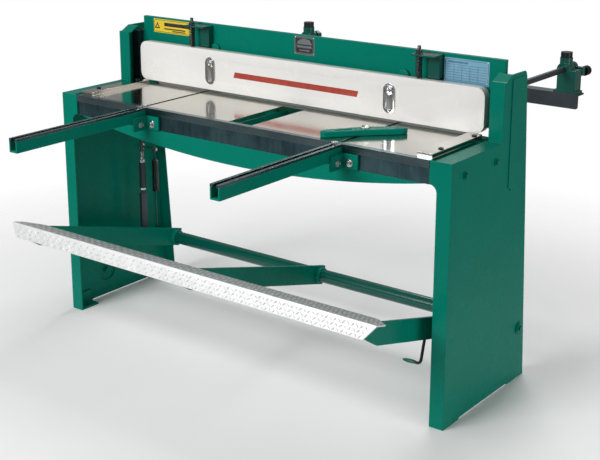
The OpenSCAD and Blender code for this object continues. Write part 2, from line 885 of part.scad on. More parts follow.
// Bent rod on the inside of the right arm; its toe points to the middle
module treadle_hook() {
    hook_r = 5;
    reach = 104;
    color(black) place() on_treadle() translate([hook_x, -hook_u, hook_v]) {
        rotate([0, 90, 0]) translate([0, 0, -6]) difference() {
            cylinder(h = 12, r = 11);
            translate([0, 0, -1]) cylinder(h = 14, r = 5.05);
        }
        translate([0, 0, -reach]) cylinder(h = reach - 8, r = hook_r);
        translate([0, 0, -reach]) sphere(r = hook_r);
        translate([-58, 0, -reach]) rotate([0, 90, 0]) cylinder(h = 58, r = hook_r);
    }
}

left_side_frame();
right_side_frame();
foot_angles();
way_bars();
gibs();
pivot_bushes();
spring_hangers();
bed_brackets();
frame_bolts();
front_rail();
front_web();
apron();
bed_ribs();
rear_beam();
table_sides();
table_centre();
lower_blade();
lower_blade_screws();
side_gauges();
side_gauge_screws();
left_front_arm();
right_front_arm();
front_arm_lips();
arm_brackets();
return_springs();
left_stop();
right_stop();
bevel_gauge();
bevel_bolt();
crosshead_beam();
crosshead_stiffener();
link_lugs();
upper_blade();
upper_blade_screws();
holddown_brackets();
holddown_springs();
guide_bolts();
warning_plate();
chart_plate();
name_plate();
gauge_rods();
rod_sockets();
holddown_bar();
slot_plates();
holddown_studs();
adjust_blocks();
left_adjust_knob();
right_adjust_knob();
gauge_carriages();
gauge_angle();
left_clamp_screw();
right_clamp_screw();
tread_plate();
treadle_arms();
torque_tube();
pivot_pins();
arm_pins();
left_link();
right_link();
treadle_hook();
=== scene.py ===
# %% [markdown]
# A foot-operated squaring shear is a bench of green enamelled plate with a ground
# steel table, a white hold-down bar and a chequered foot tread. The CAD frame
# already holds every casting, plate and pin in its true place. This lesson keeps
# those solids, gives each one a finish, and models the pieces whose charm is in
# small shapes: coils, threads, bolt heads, weld beads, rolled edges and labels.

# %% Load the machine
import json
import math

import bmesh
import bpy
from mathutils import Matrix, Vector


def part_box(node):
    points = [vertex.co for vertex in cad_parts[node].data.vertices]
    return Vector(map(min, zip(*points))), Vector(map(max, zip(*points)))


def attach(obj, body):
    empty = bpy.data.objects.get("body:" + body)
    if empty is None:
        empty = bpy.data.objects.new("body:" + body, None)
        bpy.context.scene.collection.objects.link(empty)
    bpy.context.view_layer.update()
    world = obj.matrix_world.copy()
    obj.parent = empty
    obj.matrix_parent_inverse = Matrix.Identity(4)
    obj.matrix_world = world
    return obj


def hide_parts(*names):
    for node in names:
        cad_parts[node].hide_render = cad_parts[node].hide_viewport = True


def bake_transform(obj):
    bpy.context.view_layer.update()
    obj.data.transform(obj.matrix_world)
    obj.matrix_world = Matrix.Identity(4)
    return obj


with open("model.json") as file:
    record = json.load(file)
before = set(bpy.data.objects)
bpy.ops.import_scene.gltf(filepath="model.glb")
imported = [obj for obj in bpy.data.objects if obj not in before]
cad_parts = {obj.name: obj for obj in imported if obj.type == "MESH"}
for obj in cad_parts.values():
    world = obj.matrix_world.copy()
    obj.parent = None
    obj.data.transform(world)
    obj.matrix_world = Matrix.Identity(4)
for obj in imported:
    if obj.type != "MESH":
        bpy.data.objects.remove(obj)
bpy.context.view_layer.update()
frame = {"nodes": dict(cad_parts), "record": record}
nodes = frame["nodes"]

# %% [markdown]
# The shop drawing measures in millimetres, with depth counted from the front of
# the side frames. The frame's origin lies midway between the floor anchors, which
# is 250 mm further back. One small function turns a drawing point into a scene point.

# %% Points from the shop drawing
MM = 0.001
ANCHOR_MIDDLE = 250


def spot(x, y, z):
    """A drawing point in millimetres as a point of the scene in metres."""
    return Vector((x, y - ANCHOR_MIDDLE, z)) * MM


bar_low, bar_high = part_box("holddown_bar")
print("hold-down bar", [round(v / MM) for v in bar_high - bar_low], "mm")

# %% [markdown]
# Nearly every finish here is a colour that wanders a little, a roughness that
# wanders more, and a fine bump. A few helpers string those nodes together. All of
# them read Object coordinates, so the grain keeps its true size on every piece.

# %% Helpers for finishes
def blank_finish(name, metallic=0.0, coat=0.0, coat_roughness=0.1, specular=0.5):
    material = bpy.data.materials.new(name)
    material.use_nodes = True
    tree = material.node_tree
    shader = tree.nodes["Principled BSDF"]
    shader.inputs["Metallic"].default_value = metallic
    shader.inputs["Coat Weight"].default_value = coat
    shader.inputs["Coat Roughness"].default_value = coat_roughness
    shader.inputs["Specular IOR Level"].default_value = specular
    return material, tree, shader


def grain(tree, scale, detail=3.0, stretch=(1, 1, 1)):
    """Noise of the given scale, drawn out along the axes with a small stretch."""
    place = tree.nodes.new("ShaderNodeTexCoord")
    mapping = tree.nodes.new("ShaderNodeMapping")
    noise = tree.nodes.new("ShaderNodeTexNoise")
    mapping.inputs["Scale"].default_value = stretch
    noise.inputs["Scale"].default_value = scale
    noise.inputs["Detail"].default_value = detail
    tree.links.new(place.outputs["Object"], mapping.inputs["Vector"])
    tree.links.new(mapping.outputs["Vector"], noise.inputs["Vector"])
    return noise.outputs["Fac"]


def span(tree, value, start, end, low=0.0, high=1.0):
    """Maps a value from start..end to low..high and stops at both ends."""
    node = tree.nodes.new("ShaderNodeMapRange")
    for socket, number in zip(range(1, 5), (start, end, low, high)):
        node.inputs[socket].default_value = number
    tree.links.new(value, node.inputs[0])
    return node.outputs[0]


def times(tree, first, second):
    node = tree.nodes.new("ShaderNodeMath")
    node.operation = "MULTIPLY"
    tree.links.new(first, node.inputs[0])
    tree.links.new(second, node.inputs[1])
    return node.outputs[0]


def blend_colour(tree, amount, first, second):
    """Mixes two colours; each is a colour or another node's output."""
    node = tree.nodes.new("ShaderNodeMix")
    node.data_type = "RGBA"
    tree.links.new(amount, node.inputs["Factor"])
    for socket, colour in ((node.inputs[6], first), (node.inputs[7], second)):
        if isinstance(colour, tuple):
            socket.default_value = (*colour, 1)
        else:
            tree.links.new(colour, socket)
    return node.outputs[2]


print("finish helpers ready")

# %% [markdown]
# Real plate has no knife edges. The Bevel node rounds a corner in the shading, and
# where its normal leaves the face's own normal there is an edge. There enamel is
# painted lighter, a painted highlight, and steel gets polished. So one node gives
# both the soft highlight and the mask for the painted highlight and the wear.

# %% Rounded corners and where they wear
def rounded(tree, radius):
    """The normal of a corner rounded to this radius, and a mask of the corners."""
    bevel = tree.nodes.new("ShaderNodeBevel")
    bevel.samples = 6
    bevel.inputs["Radius"].default_value = radius
    face = tree.nodes.new("ShaderNodeNewGeometry")
    dot = tree.nodes.new("ShaderNodeVectorMath")
    dot.operation = "DOT_PRODUCT"
    tree.links.new(bevel.outputs["Normal"], dot.inputs[0])
    tree.links.new(face.outputs["Normal"], dot.inputs[1])
    return bevel.outputs["Normal"], span(tree, dot.outputs["Value"], 0.995, 0.80)


def relief(tree, shader, height, depth, strength, normal):
    """Bump of this depth in metres over an already rounded normal."""
    bump = tree.nodes.new("ShaderNodeBump")
    bump.inputs["Strength"].default_value = strength
    bump.inputs["Distance"].default_value = depth
    tree.links.new(height, bump.inputs["Height"])
    tree.links.new(normal, bump.inputs["Normal"])
    tree.links.new(bump.outputs["Normal"], shader.inputs["Normal"])


print("corner helpers ready")

# %% [markdown]
# The frame is sprayed with gloss machine enamel, which dries with a faint orange
# peel and chips to bare steel where sheets are dragged over it; its corners get a
# painted highlight. The chips are kept few and small, as on a machine that is nearly new.

# %% Enamel
def enamel(name, colour, shade, rough=(0.24, 0.34), chips=0.80, radius=0.0025,
           shine=0.07):
    material, tree, shader = blank_finish(name, coat=0.02, coat_roughness=0.12,
                                          specular=shine)
    normal, corner = rounded(tree, radius)
    base = blend_colour(tree, span(tree, grain(tree, 4.0), 0.3, 0.7), colour, shade)
    # The corners are mixed towards a lighter green: a painted highlight.
    edge_highlight = tuple(min(1.0, c * 1.25 + 0.02) for c in colour)
    base = blend_colour(tree, times(tree, corner, grain(tree, 30.0)), base, edge_highlight)
    chip = times(tree, corner, span(tree, grain(tree, 170.0, 4), chips - 0.12, chips))
    base = blend_colour(tree, chip, base, (0.30, 0.31, 0.31))
    tree.links.new(base, shader.inputs["Base Color"])
    tree.links.new(span(tree, grain(tree, 22.0, 5), 0.3, 0.7, *rough),
                   shader.inputs["Roughness"])
    relief(tree, shader, grain(tree, 420.0, 2), 0.0006, 0.10, normal)
    return material


green_enamel = enamel("green_enamel", (0.0004, 0.200, 0.141), (0.0004, 0.182, 0.128))
# A darker copy of the frame's green: painted shade for parts that sit in shadow.
shaded_green_enamel = enamel("green_enamel_in_shade", (0.001, 0.090, 0.066), (0.001, 0.075, 0.056),
                     rough=(0.14, 0.24), shine=0.5)
white_enamel = enamel("white_enamel", (0.86, 0.845, 0.82), (0.845, 0.83, 0.805),
                      rough=(0.20, 0.30), chips=0.86, shine=0.4)
print("enamels", green_enamel.name, shaded_green_enamel.name, white_enamel.name)

# %% [markdown]
# Bare steel is told apart by how it was worked. Ground plate shows fine lines one
# way, plated screws are smooth and a little blotchy, and oiled black parts are
# nearly smooth with a soft sheen. One function takes the lines' direction, the two
# colours and the range of roughness.

# %% Worked metal
def metal(name, colour, second, rough, lines=(1, 1, 1), line_scale=60.0,
          depth=0.0002, strength=0.1, radius=0.0008, blotch=9.0, metallic=1.0):
    material, tree, shader = blank_finish(name, metallic=metallic)
    normal, corner = rounded(tree, radius)
    worked = grain(tree, line_scale, 5, lines)
    base = blend_colour(tree, span(tree, grain(tree, blotch, 4), 0.35, 0.65),
                        colour, second)
    base = blend_colour(tree, span(tree, worked, 0.35, 0.75, 0.0, 0.5), base,
                        tuple(c * 0.72 for c in colour))
    polished = tuple(min(1.0, c * 1.35 + 0.04) for c in colour)
    base = blend_colour(tree, times(tree, corner, grain(tree, 45.0)), base, polished)
    tree.links.new(base, shader.inputs["Base Color"])
    tree.links.new(span(tree, worked, 0.3, 0.7, *rough), shader.inputs["Roughness"])
    relief(tree, shader, worked, depth, strength, normal)
    return material


ALONG_X = (0.02, 1, 1)
table_steel = metal("ground_table_steel", (0.70, 0.69, 0.65), (0.62, 0.60, 0.53),
                    (0.07, 0.20), ALONG_X, 900.0, depth=0.00005, blotch=2.2)
blade_steel = metal("ground_blade_steel", (0.66, 0.67, 0.67), (0.56, 0.57, 0.57),
                    (0.14, 0.30), ALONG_X, 700.0)
rail_steel = metal("oiled_rail_steel", (0.20, 0.27, 0.29), (0.12, 0.18, 0.20),
                   (0.16, 0.34), ALONG_X, 420.0, blotch=5.0)
# The web's dark blue-grey is painted shade: the shade under the table's lip.
web_steel = metal("shaded_web_steel", (0.10, 0.19, 0.21), (0.05, 0.10, 0.12),
                  (0.22, 0.40), (1, 1, 0.05), 90.0, blotch=14.0)
dark_steel = metal("dark_bar_steel", (0.085, 0.10, 0.115), (0.055, 0.065, 0.075),
                   (0.28, 0.46), ALONG_X, 260.0, metallic=0.8)
zinc = metal("zinc_plating", (0.66, 0.68, 0.70), (0.60, 0.59, 0.52),
             (0.16, 0.32), line_scale=220.0, blotch=60.0)
black_oxide = metal("black_oxide", (0.020, 0.021, 0.023), (0.034, 0.034, 0.036),
                    (0.26, 0.42), line_scale=180.0, metallic=0.6)
bronze = metal("bearing_bronze", (0.50, 0.33, 0.13), (0.40, 0.25, 0.10),
               (0.24, 0.42), line_scale=200.0)
chrome = metal("bright_chrome", (0.80, 0.82, 0.84), (0.74, 0.76, 0.79),
               (0.05, 0.12), line_scale=90.0, depth=0.00005)
tread_steel = metal("bright_chequer_steel", (0.93, 0.93, 0.93), (0.84, 0.84, 0.85),
                    (0.40, 0.62), line_scale=320.0, strength=0.25, blotch=26.0,
                    metallic=0.55)
darker_top_steel = metal("darker_top_chequer_steel", (0.66, 0.70, 0.69), (0.46, 0.51, 0.50),
                    (0.40, 0.60), line_scale=200.0, strength=0.25, blotch=90.0,
                    metallic=0.5)
spring_steel = metal("oiled_spring_steel", (0.07, 0.075, 0.08), (0.12, 0.12, 0.12),
                     (0.20, 0.34), line_scale=240.0, metallic=0.9)
print("metals", [m.name for m in bpy.data.materials if "steel" in m.name])

# %% [markdown]
# The labels are printed aluminium plates, and their inks are thin and slightly
# matt. Ink is a finish of its own: hardly any shine, with tiny pinholes that lower
# its gloss here and there.

# %% Label plates and inks
def ink(name, colour, faded, rough=(0.32, 0.5)):
    material, tree, shader = blank_finish(name)
    normal = rounded(tree, 0.0003)[0]
    worn = span(tree, grain(tree, 60.0, 6), 0.45, 0.75)
    base = blend_colour(tree, worn, colour, faded)
    tree.links.new(base, shader.inputs["Base Color"])
    tree.links.new(span(tree, grain(tree, 240.0), 0.3, 0.7, *rough),
                   shader.inputs["Roughness"])
    relief(tree, shader, grain(tree, 800.0), 0.0001, 0.1, normal)
    return material


yellow_label = ink("yellow_label", (0.84, 0.62, 0.035), (0.76, 0.55, 0.05))
blue_label = ink("blue_label", (0.20, 0.42, 0.56), (0.25, 0.47, 0.60))
black_ink = ink("black_ink", (0.018, 0.018, 0.018), (0.05, 0.05, 0.045))
blue_ink = ink("blue_ink", (0.06, 0.20, 0.33), (0.11, 0.27, 0.40))
red_ink = ink("red_ink", (0.40, 0.045, 0.028), (0.46, 0.075, 0.045))
bare_label = metal("bare_label_plate", (0.50, 0.55, 0.56), (0.42, 0.47, 0.48),
                   (0.25, 0.4), ALONG_X, 700.0)
print("inks", [m.name for m in bpy.data.materials if "ink" in m.name])

# %% [markdown]
# Every CAD solid now takes its finish. The record already says which slot each
# node belongs to, so a table from slot to material covers them all. A few nodes
# are singled out: the torque tube, the brackets and the back gauge's castings take
# a darker copy of the green, painted shade for parts that sit in shadow, the blades
# are ground finer than the table, and the web is painted dark, painted shade under
# the table's lip.

# %% Dress the CAD nodes
finish_of_slot = {
    "green_paint": green_enamel, "white_paint": white_enamel,
    "ground_steel": table_steel, "rail_steel": rail_steel,
    "dark_steel": dark_steel, "tread_steel": tread_steel, "zinc": zinc,
    "black_oxide": black_oxide, "bronze": bronze, "chrome": chrome,
    "yellow_plate": yellow_label, "blue_plate": blue_label, "bare_plate": bare_label,
}
slot_of_node = {part["node"]: part["material_slot"]
                for part in frame["record"]["subparts"]}
special = {"torque_tube": shaded_green_enamel, "upper_blade": blade_steel,
           "gauge_carriages": shaded_green_enamel, "adjust_blocks": shaded_green_enamel,
           "left_clamp_screw": black_oxide, "right_clamp_screw": black_oxide,
           "holddown_brackets": shaded_green_enamel, "front_web": web_steel,
           "lower_blade": blade_steel, "front_arm_lips": rail_steel,
           "pivot_bushes": green_enamel, "pivot_pins": green_enamel,
           "return_springs": spring_steel, "holddown_springs": spring_steel}
for name, node in nodes.items():
    node.data.materials.clear()
    node.data.materials.append(special.get(name, finish_of_slot[slot_of_node[name]]))
print("dressed", len(nodes), "nodes in", len(finish_of_slot), "slots")

# %% [markdown]
# New pieces all end the same way: normals outward, smooth shading that breaks at
# sharp corners, a finish and a body to ride on. A spring between two bodies rides
# on neither and stays where it is drawn.

# %% How a new piece is finished
def add_piece(name, bm, body, material, replaces=(), between=None, crease=35,
              second=None):
    bmesh.ops.recalc_face_normals(bm, faces=bm.faces)
    mesh = bpy.data.meshes.new(name)
    bm.to_mesh(mesh)
    bm.free()
    mesh.materials.append(material)
    if second:
        mesh.materials.append(second)
    mesh.polygons.foreach_set("use_smooth", [True] * len(mesh.polygons))
    mesh.set_sharp_from_angle(angle=math.radians(crease))
    piece = bpy.data.objects.new(name, mesh)
    bpy.context.scene.collection.objects.link(piece)
    if between:
        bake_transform(piece)
    else:
        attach(piece, body)
    if replaces:
        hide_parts(*replaces)
    print(f"{name}: {len(mesh.polygons)} faces")
    return piece


# %% [markdown]
# The tread is one strip of chequered plate, folded over the ends of the treadle
# arms, with both its top and its front lip cut back at the ends. It is easiest as a
# folded section of six points pushed along the machine. The fold is then bevelled
# round, and two plane cuts at each end make the mitres.

# %% The folded tread
PIVOT_Y, PIVOT_Z = 459, 176
TREAD_TILT = math.radians(15.3)
treadle_line = (Matrix.Translation(spot(0, PIVOT_Y, PIVOT_Z))
                @ Matrix.Rotation(-TREAD_TILT, 4, "X"))
ARM_TOP, PLATE, BEND, STRIP, RUN, DROP = 34, 5, 788, 94, 4, 44
LIP_MITRE, STRIP_MITRE, STRAIGHT, HALF = 34, 56, 44, 750
FOLD_RADIUS, RIM = 3.0, 0.6


def verts_of(geometry):
    return [v for v in geometry if isinstance(v, bmesh.types.BMVert)]


def edges_of(geometry):
    return [e for e in geometry if isinstance(e, bmesh.types.BMEdge)]


def trim(bm, point, normal):
    """Cuts away what lies beyond a plane and closes the cut."""
    cut = bmesh.ops.bisect_plane(
        bm, geom=bm.verts[:] + bm.edges[:] + bm.faces[:], dist=1e-6,
        plane_co=point, plane_no=normal, clear_outer=True)
    bmesh.ops.holes_fill(bm, edges=edges_of(cut["geom_cut"]))


def folded_tread():
    bm = bmesh.new()
    slope = math.hypot(RUN, DROP)
    out, rise = PLATE * DROP / slope, PLATE * RUN / slope
    section = [(STRIP - BEND, ARM_TOP), (-BEND, ARM_TOP), (-BEND - RUN, ARM_TOP - DROP),
               (-BEND - RUN - out, ARM_TOP - DROP + rise),
               (-BEND - out + (PLATE - rise) * RUN / DROP, ARM_TOP + PLATE),
               (STRIP - BEND, ARM_TOP + PLATE)]
    face = bm.faces.new([bm.verts.new((-HALF * MM, y * MM, z * MM)) for y, z in section])
    pushed = bmesh.ops.extrude_face_region(bm, geom=[face])
    bmesh.ops.translate(bm, vec=(2 * HALF * MM, 0, 0), verts=verts_of(pushed["geom"]))
    fold = [e for e in bm.edges if abs(e.verts[0].co.x - e.verts[1].co.x) > MM
            and abs(e.verts[0].co.y + BEND * MM) < (PLATE + 0.5) * MM
            and e.verts[0].co.z > (ARM_TOP - 1) * MM]
    bmesh.ops.bevel(bm, geom=fold, offset=FOLD_RADIUS * MM, offset_type="OFFSET",
                    segments=4, profile=0.5, affect="EDGES", material=-1)
    for side in (-1, 1):
        trim(bm, (side * HALF * MM, 0, ARM_TOP * MM), (side * DROP, 0, -LIP_MITRE))
        trim(bm, (side * HALF * MM, (STRAIGHT - BEND) * MM, 0),
             (side * (STRIP - STRAIGHT), STRIP_MITRE, 0))
    rims = [e for e in bm.edges if e.calc_face_angle(0) > 0.7]
    bmesh.ops.bevel(bm, geom=rims, offset=RIM * MM, offset_type="OFFSET", segments=1,
                    profile=0.5, affect="EDGES", material=-1)
    bmesh.ops.recalc_face_normals(bm, faces=bm.faces)
    # Faces that look straight up take the second, darker finish.
    for face in bm.faces:
        face.material_index = int(face.normal.z > 0.99)
    return bm


tread = folded_tread()
print("tread section pushed", 2 * HALF, "mm")

# %% [markdown]
# Chequered plate has small raised bars that lean left and right by turns. Each bar
# is a roof of six points, so hundreds of them stay light. They are set out in rows
# on the top strip and, lower, on the lip, and sunk a little so that they bite into
# the plate. The faces that look straight up, the flat of the top strip, have a
# darker finish of their own.

# %% The raised bars of the chequered plate
PITCH, ROW_PITCH, COLUMNS = 15.0, 13.5, 60
LONG, WIDE, SUNK = 8.0, 2.4, 0.4
FIRST_ROW, LIP_ROW = 12, 8
TOP_INSETS, LIP_INSETS = (12, 12, 12, 18, 32, 47), (35, 25, 15)


def lay_lozenge(bm, where, lean, high):
    """One raised bar: a diamond base with a short ridge, turned by lean."""
    turn = where @ Matrix.Rotation(lean, 4, "Z")
    ridge = LONG * 0.28
    corners = [(-LONG, 0, -SUNK), (0, -WIDE, -SUNK), (LONG, 0, -SUNK), (0, WIDE, -SUNK),
               (-ridge, 0, high), (ridge, 0, high)]
    v = [bm.verts.new(turn @ (Vector(c) * MM)) for c in corners]
    for a in ((0, 1, 5, 4), (1, 2, 5), (2, 3, 4, 5), (3, 0, 4), (0, 3, 2, 1)):
        bm.faces.new([v[i] for i in a])


def chequer(bm, origin, across, insets, high):
    """Rows of leaning bars, one row pitch apart. Each row stops short of the plate's
    ends by its own inset, so that no bar hangs over a mitre."""
    along = Vector((1, 0, 0))
    lie = Matrix((along, across, along.cross(across))).transposed().to_4x4()
    count = 0
    for row, inset in enumerate(insets):
        for column in range(-COLUMNS, COLUMNS + 1):
            x = (column + 0.5 * (row % 2)) * PITCH
            if abs(x) < HALF - inset:
                here = origin + across * (row * ROW_PITCH * MM) + Vector((x * MM, 0, 0))
                lean = math.radians(45 if (column + row) % 2 else -45)
                lay_lozenge(bm, Matrix.Translation(here) @ lie, lean, high)
                count += 1
    return count


top_row = Vector((0, (FIRST_ROW - BEND) * MM, (ARM_TOP + PLATE) * MM))
on_top = chequer(tread, top_row, Vector((0, 1, 0)), TOP_INSETS, 1.2)
up_lip = Vector((0, RUN, DROP)).normalized()
lip_row = Vector((0, (-BEND - RUN - PLATE) * MM, (ARM_TOP - DROP + LIP_ROW) * MM))
on_lip = chequer(tread, lip_row, up_lip, LIP_INSETS, 0.6)
bmesh.ops.transform(tread, matrix=treadle_line, verts=tread.verts)
print("raised bars", on_top, "on top,", on_lip, "on the lip")
add_piece("chequered_tread", tread, "treadle", tread_steel,
          ["tread_plate"], crease=20, second=darker_top_steel)

# %% [markdown]
# A coil spring is a small ring carried round an axis while it climbs. The spin
# operator does both: it turns by the whole angle, and the climb is given for each
# step. The open ends are closed with a face, so the coil is a solid wire.

# %% Coils and threads
def ring_at(bm, radius, sides, matrix):
    made = bmesh.ops.create_circle(bm, segments=sides, radius=radius, matrix=matrix)
    edges = {e for v in made["verts"] for e in v.link_edges}
    return made["verts"] + list(edges)


def close_ends(bm):
    bmesh.ops.holes_fill(bm, edges=[e for e in bm.edges if e.is_boundary])


def coil(bm, foot, height, coil_radius, wire_radius, turns, sides=7, steps=18):
    upright = Matrix.Translation(foot + Vector((coil_radius, 0, 0)))
    ring = ring_at(bm, wire_radius, sides, upright @ Matrix.Rotation(math.pi / 2, 4, "X"))
    count = round(turns * steps)
    bmesh.ops.spin(bm, geom=ring, cent=foot, axis=(0, 0, 1), angle=math.tau * turns,
                   dvec=(0, 0, height / count), steps=count, use_duplicate=False)


def thread(bm, foot, direction, radius, length, pitch, sides=3, steps=12):
    """A ridge of triangular section wound round a screw's core."""
    face = direction.to_track_quat("Z", "Y").to_matrix().to_4x4()
    side = face @ Vector((1, 0, 0))
    start = Matrix.Translation(foot + side * radius) @ face
    ring = ring_at(bm, pitch * 0.56, sides, start @ Matrix.Rotation(math.pi / 2, 4, "X"))
    count = round(length / pitch * steps)
    bmesh.ops.spin(bm, geom=ring, cent=foot, axis=direction, angle=math.tau * length / pitch,
                   dvec=direction * (length / count), steps=count, use_duplicate=False)


def drum(bm, foot, direction, radius, length, bevel=0.0, sides=32, top_radius=None):
    """A turned cylinder from foot along direction, with its rims broken."""
    top = radius if top_radius is None else top_radius
    place = (Matrix.Translation(foot + direction * length / 2)
             @ direction.to_track_quat("Z", "Y").to_matrix().to_4x4())
    made = bmesh.ops.create_cone(bm, cap_ends=True, segments=sides, radius1=radius,
                                 radius2=top, depth=length, matrix=place)
    caps = [f for f in {f for v in made["verts"] for f in v.link_faces}
            if len(f.verts) == sides]
    if bevel:
        bmesh.ops.bevel(bm, geom=[e for f in caps for e in f.edges], offset=bevel,
                        offset_type="OFFSET", segments=2, profile=0.5,
                        affect="EDGES", material=-1)


UP, DOWN = Vector((0, 0, 1)), Vector((0, 0, -1))
print("coil and thread helpers ready")

# %% [markdown]
# Two extension springs pull the treadle up again. Each hangs from a stud in the
# side frame and hooks on a stud in the treadle arm, so when the treadle goes down
# the coil has to stretch. The piece rides on neither body and stays where it is drawn.

# %% Return springs
SPRING_X, SPRING_Y = 722, 380
COIL_LOW, COIL_TOP, HANGER = 372, 508, 545
COIL_R, WIRE_R, TURNS, COIL_END = 10.4, 2.4, 22, 5
NECK, NECK_R, NECK_TIP_R = 10, 10.0, 3.2
EYE_R, EYE_WIRE_R = 9, 2.5
pin_low = PIVOT_Z + (PIVOT_Y - SPRING_Y) * math.tan(TREAD_TILT)
bm = bmesh.new()
for side in (-1, 1):
    foot = spot(side * SPRING_X, SPRING_Y, COIL_LOW + COIL_END)
    coil(bm, foot, (COIL_TOP - COIL_LOW - 2 * COIL_END) * MM, COIL_R * MM, WIRE_R * MM,
         TURNS)
    close_ends(bm)
    for z, way, reach in ((COIL_TOP, UP, HANGER - COIL_TOP - 6),
                          (COIL_LOW, DOWN, COIL_LOW - pin_low - 6)):
        end = spot(side * SPRING_X, SPRING_Y, z)
        drum(bm, end - way * (NECK - 1) * MM, way, NECK_R * MM, NECK * MM, 0.4 * MM, 20,
             NECK_TIP_R * MM)
        drum(bm, end, way, EYE_WIRE_R * MM, reach * MM, 0, 10)
    for z in (pin_low, HANGER):
        eye = spot(side * SPRING_X, SPRING_Y, z)
        top = eye + UP * EYE_R * MM
        loop = ring_at(bm, EYE_WIRE_R * MM, 8, Matrix.Translation(top))
        bmesh.ops.rotate(bm, verts=verts_of(loop), cent=top,
                         matrix=Matrix.Rotation(math.pi / 2, 3, "X"))
        bmesh.ops.spin(bm, geom=loop, cent=eye, axis=(1, 0, 0), angle=math.tau,
                       steps=24, use_merge=True, use_duplicate=False)
add_piece("return_coils", bm, None, spring_steel, ["return_springs"],
          between=("frame", "treadle", spot(0, SPRING_Y, HANGER - EYE_R),
                   spot(0, SPRING_Y, pin_low + EYE_R)))

# %% [markdown]
# The two hold-down springs sit on studs between the white bar and the green
# brackets. Pressing the treadle squeezes them, and there is just room for the turns
# when they are fully squeezed.

# %% Hold-down springs
STUD_X, STUD_Y, BAR_TOP, BRACKET = 474, 334, 972, 1044
SEAT, PRESS_R, PRESS_WIRE_R, PRESS_TURNS = 2.1, 10.0, 2.0, 8.8
bm = bmesh.new()
for side in (-1, 1):
    foot = spot(side * STUD_X, STUD_Y, BAR_TOP + SEAT)
    coil(bm, foot, (BRACKET - BAR_TOP - 2 * SEAT) * MM, PRESS_R * MM, PRESS_WIRE_R * MM,
         PRESS_TURNS)
close_ends(bm)
add_piece("holddown_coils", bm, None, black_oxide, ["holddown_springs"],
          between=("holddown", "crosshead", spot(0, STUD_Y, BAR_TOP + 2),
                   spot(0, STUD_Y, BRACKET - 2)))

# %% [markdown]
# A hexagon head has its corners turned off, and it sits on a washer with broken
# rims. The head is a six-sided drum whose top rim is bevelled, and a slim shank
# runs back through the plate. This one helper makes every screw on the machine,
# and each kind of screw is named once, with its sizes in millimetres.

# %% Screws with washers
def screw(bm, seat, direction, head, height, washer=0.0, thick=0.0, shank=0.0, length=0.0):
    """A hexagon screw: seat is where its washer or head lies, direction points away."""
    if washer:
        drum(bm, seat, direction, washer * MM, thick * MM, 0.35 * MM, 36)
    if shank:
        drum(bm, seat - direction * length * MM, direction, shank * MM,
             (length + thick) * MM, 0.3 * MM, 24)
    base = seat + direction * thick * MM
    place = (Matrix.Translation(base + direction * height * MM / 2)
             @ direction.to_track_quat("Z", "Y").to_matrix().to_4x4())
    made = bmesh.ops.create_cone(bm, cap_ends=True, segments=6, radius1=head * MM,
                                 radius2=head * MM, depth=height * MM, matrix=place)
    outer = [v for v in made["verts"] if (v.co - base).dot(direction) > height * MM / 2]
    rim = [e for e in {e for v in outer for e in v.link_edges}
           if all(v in outer for v in e.verts)]
    bmesh.ops.bevel(bm, geom=rim, offset=head * 0.13 * MM, offset_type="OFFSET",
                    segments=2, profile=0.5, affect="EDGES", material=-1)
    drum(bm, base + direction * (height - 0.2) * MM, direction, head * 0.62 * MM,
         0.5 * MM, 0.2 * MM, 24)


BED_Z, OUT_X, SLOT_X, HEAD_Y = 820, 797.5, 404, 375
GIB_X, GIB_Y, GUIDE_X, GUIDE_SEAT_Y = 775, 418.3, 377, 315
FRONT, BACK = Vector((0, -1, 0)), Vector((0, 1, 0))
RIGHT, LEFT = Vector((1, 0, 0)), Vector((-1, 0, 0))
# corner radius and height of the head, washer radius and thickness, shank and length
BED_SCREW, GIB_SCREW = (10, 7, 12, 2.5, 6, 13), (8, 7)
RAIL_SCREW, ARM_SCREW = (9, 7.5, 13, 2.5), (8, 6, 10, 2.5)
GUIDE_SCREW, STUD_NUT, LOCKNUT = (9, 7.5, 15, 2.5, 6, 71), (10, 10, 12, 2.5), (11, 8)
bm = bmesh.new()
for side, way in ((-1, LEFT), (1, RIGHT)):
    for y in (75, 258):
        screw(bm, spot(side * OUT_X, y, BED_Z - 49), way, *BED_SCREW)
add_piece("painted_bed_screws", bm, "frame", green_enamel, ["frame_bolts"])

bm = bmesh.new()
for side in (-1, 1):
    for z in (660, 800, 950):
        screw(bm, spot(side * GIB_X, GIB_Y, z), BACK, *GIB_SCREW)
    screw(bm, spot(side * SLOT_X + 46, -2, BED_Z - 52), FRONT, *RAIL_SCREW)
    screw(bm, spot(side * SLOT_X + 25, -36, BED_Z - 52), RIGHT, *ARM_SCREW)
add_piece("gib_and_bracket_screws", bm, "frame", zinc)

bm = bmesh.new()
for side in (-1, 1):
    screw(bm, spot(side * GUIDE_X, GUIDE_SEAT_Y, BAR_TOP - 47), FRONT, *GUIDE_SCREW)
add_piece("guide_screws", bm, "crosshead", zinc, ["guide_bolts"])

# %% [markdown]
# Two round bosses on the crosshead's face, just behind the top edge of the white
# bar, keep the bar square. Each is a turned disc with a domed rim.

# %% Bosses of the crosshead
BOSS_X, BOSS_Z, BOSS_R, BOSS_HEIGHT = 397, 966, 21, 11
bm = bmesh.new()
for side in (-1, 1):
    drum(bm, spot(side * BOSS_X, HEAD_Y + 1.5, BOSS_Z), FRONT, BOSS_R * MM,
         BOSS_HEIGHT * MM, 3.5 * MM, 36)
add_piece("crosshead_bosses", bm, "crosshead", green_enamel)

# %% [markdown]
# The hold-down studs are threaded rods screwed into the bar. A washer and nut sit
# on top of each bracket, and the thread shows above the nut. The core is a turned
# drum, and the thread helper winds the ridge on it.

